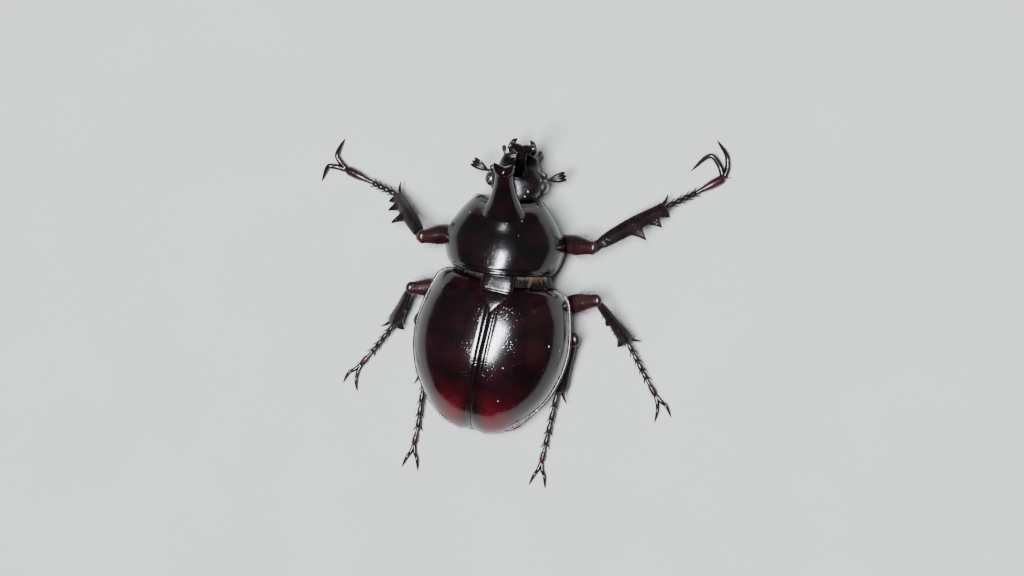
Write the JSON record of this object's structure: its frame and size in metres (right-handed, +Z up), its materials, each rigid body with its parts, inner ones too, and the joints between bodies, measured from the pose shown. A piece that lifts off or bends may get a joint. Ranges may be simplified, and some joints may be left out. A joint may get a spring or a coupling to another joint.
{
  "type": "rhinoceros beetle",
  "caption": "Still life-size male rhinoceros beetle with glossy dark red wing cases, a forked head horn and a short pronotal horn, standing on its feet with one foreleg stretched out.",
  "frame": {"origin": "Middle of the floor plan, on the floor that the six feet stand on.", "axes": "+Z up, +Y towards the head, +X to the beetle's right. The legs are posed unevenly, so no axis is one of symmetry; across the spread legs (X) is the longest way and height (Z) the shortest."},
  "size_m": [0.062, 0.055, 0.02],
  "materials": {
    "red_shell": "glossy very dark maroon shell with fine pits, redder towards the rear",
    "dark_shell": "glossy near-black shell with a maroon tint",
    "leg_shell": "shiny black-brown leg shell, redder on thighs and feet",
    "belly_shell": "shiny dark brown underside with short yellow-brown hair",
    "eye": "very glossy black eye with a fine net of facets"
  },
  "bodies": {
    "root": {"abdomen": "belly_shell", "antenna_club_left": "leg_shell", "antenna_club_right": "leg_shell", "antenna_left": "leg_shell", "antenna_right": "leg_shell", "elytron_left": "red_shell", "elytron_right": "red_shell", "eye_left": "eye", "eye_right": "eye", "head": "dark_shell", "head_horn": "dark_shell", "leg_fore_left_claws": "dark_shell", "leg_fore_left_coxa": "leg_shell", "leg_fore_left_femur": "leg_shell", "leg_fore_left_tarsus": "leg_shell", "leg_fore_left_tibia": "leg_shell", "leg_fore_right_claws": "dark_shell", "leg_fore_right_coxa": "leg_shell", "leg_fore_right_femur": "leg_shell", "leg_fore_right_tarsus": "leg_shell", "leg_fore_right_tibia": "leg_shell", "leg_hind_left_claws": "dark_shell", "leg_hind_left_coxa": "leg_shell", "leg_hind_left_femur": "leg_shell", "leg_hind_left_tarsus": "leg_shell", "leg_hind_left_tibia": "leg_shell", "leg_hind_right_claws": "dark_shell", "leg_hind_right_coxa": "leg_shell", "leg_hind_right_femur": "leg_shell", "leg_hind_right_tarsus": "leg_shell", "leg_hind_right_tibia": "leg_shell", "leg_middle_left_claws": "dark_shell", "leg_middle_left_coxa": "leg_shell", "leg_middle_left_femur": "leg_shell", "leg_middle_left_tarsus": "leg_shell", "leg_middle_left_tibia": "leg_shell", "leg_middle_right_claws": "dark_shell", "leg_middle_right_coxa": "leg_shell", "leg_middle_right_femur": "leg_shell", "leg_middle_right_tarsus": "leg_shell", "leg_middle_right_tibia": "leg_shell", "mandible_left": "dark_shell", "mandible_right": "dark_shell", "mesothorax": "dark_shell", "metasternum": "belly_shell", "palp_left": "leg_shell", "palp_right": "leg_shell", "pronotal_horn": "dark_shell", "pronotum": "dark_shell", "prosternum": "belly_shell", "pygidium": "red_shell", "scutellum": "dark_shell"}
  },
  "joints": []
}
